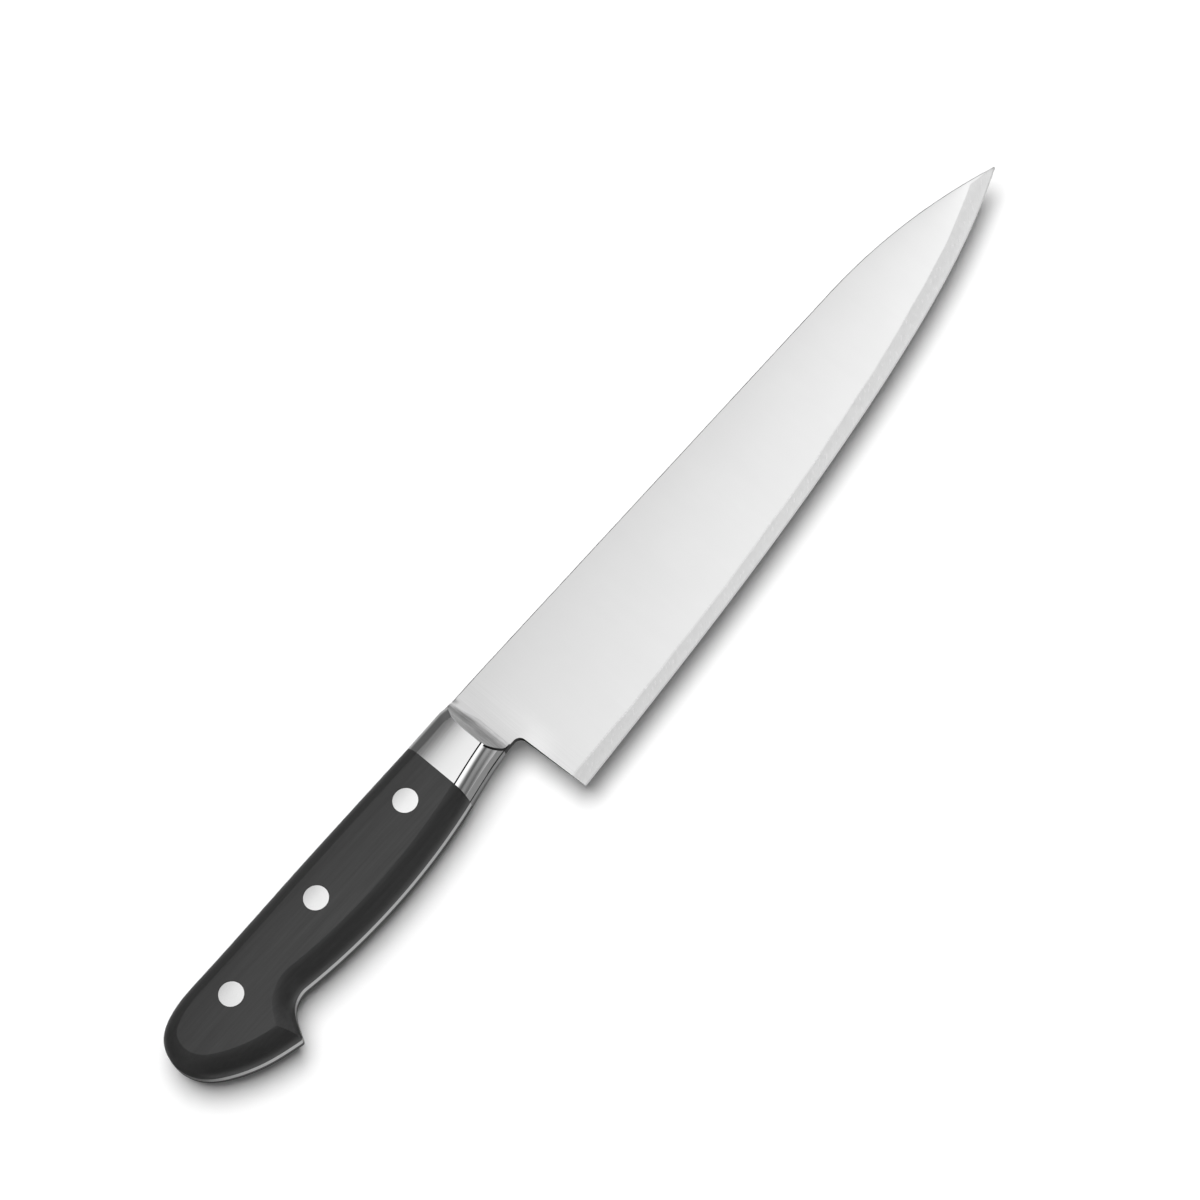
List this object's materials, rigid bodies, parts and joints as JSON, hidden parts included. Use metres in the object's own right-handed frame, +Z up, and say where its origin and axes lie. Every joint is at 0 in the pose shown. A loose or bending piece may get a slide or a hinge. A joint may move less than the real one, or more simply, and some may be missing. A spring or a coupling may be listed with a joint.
{
  "type": "chef knife",
  "caption": "Kitchen chef knife: wedge-ground blade with a full tang, brazed bolsters, and black scales held by flush rivets, with a hooked butt.",
  "frame": {"origin": "on the surface the knife lies on, under the middle of its bounding box", "axes": "+X along the blade towards the tip, +Y across the blade from cutting edge to spine, +Z up, out of the right-hand face; the knife lies on its left side"},
  "size_m": [0.3372, 0.0446, 0.017],
  "materials": {
    "blade_steel": "stainless knife steel, satin ground across the blade, with a coarser ground edge bevel",
    "bolster_steel": "stainless steel, mirror-polished cheek, brushed underside and bead-blasted ramp",
    "scale": "black resin-impregnated laminated wood, buffed to a soft sheen",
    "rivet": "stainless steel, ground flush with the scales and buffed"
  },
  "bodies": {
    "root": {"blade": "blade_steel", "right_bolster": "bolster_steel", "left_bolster": "bolster_steel", "right_scale": "scale", "left_scale": "scale", "front_rivet_socket": "rivet", "front_rivet_post": "rivet", "middle_rivet_socket": "rivet", "middle_rivet_post": "rivet", "rear_rivet_socket": "rivet", "rear_rivet_post": "rivet"}
  },
  "joints": []
}
